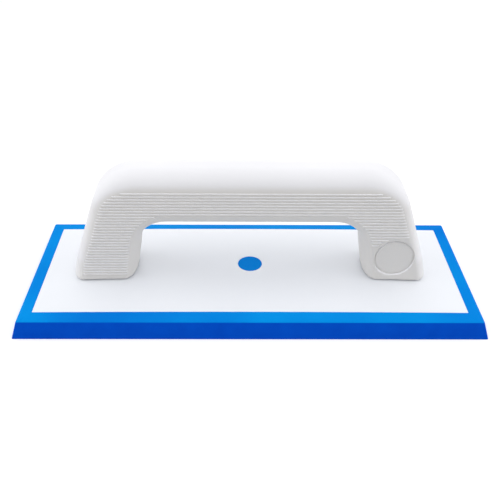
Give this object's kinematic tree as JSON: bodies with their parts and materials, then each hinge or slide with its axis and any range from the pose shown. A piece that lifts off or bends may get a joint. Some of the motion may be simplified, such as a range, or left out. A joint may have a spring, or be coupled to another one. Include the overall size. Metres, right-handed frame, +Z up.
{
  "type": "rubber grout float",
  "caption": "Hand float with a flat rubber pad bonded to a crowned plastic plate and a ribbed bridge handle screwed on top.",
  "frame": {"origin": "centre of the sole, on the surface the float stands on", "axes": "+X along the float's length, +Y across it, +Z up through the handle"},
  "size_m": [0.25, 0.097, 0.077],
  "materials": {
    "pad_rubber": "satin moulded rubber",
    "plate_plastic": "fine satin moulded plastic",
    "handle_plastic": "satin moulded plastic, ribbed sides",
    "screw_steel": "zinc plated"
  },
  "bodies": {
    "root": {"rubber_pad": "pad_rubber", "backing_plate": "plate_plastic", "handle": "handle_plastic", "handle_screw_1": "screw_steel", "handle_screw_2": "screw_steel", "handle_screw_3": "screw_steel", "handle_screw_4": "screw_steel"}
  },
  "joints": []
}
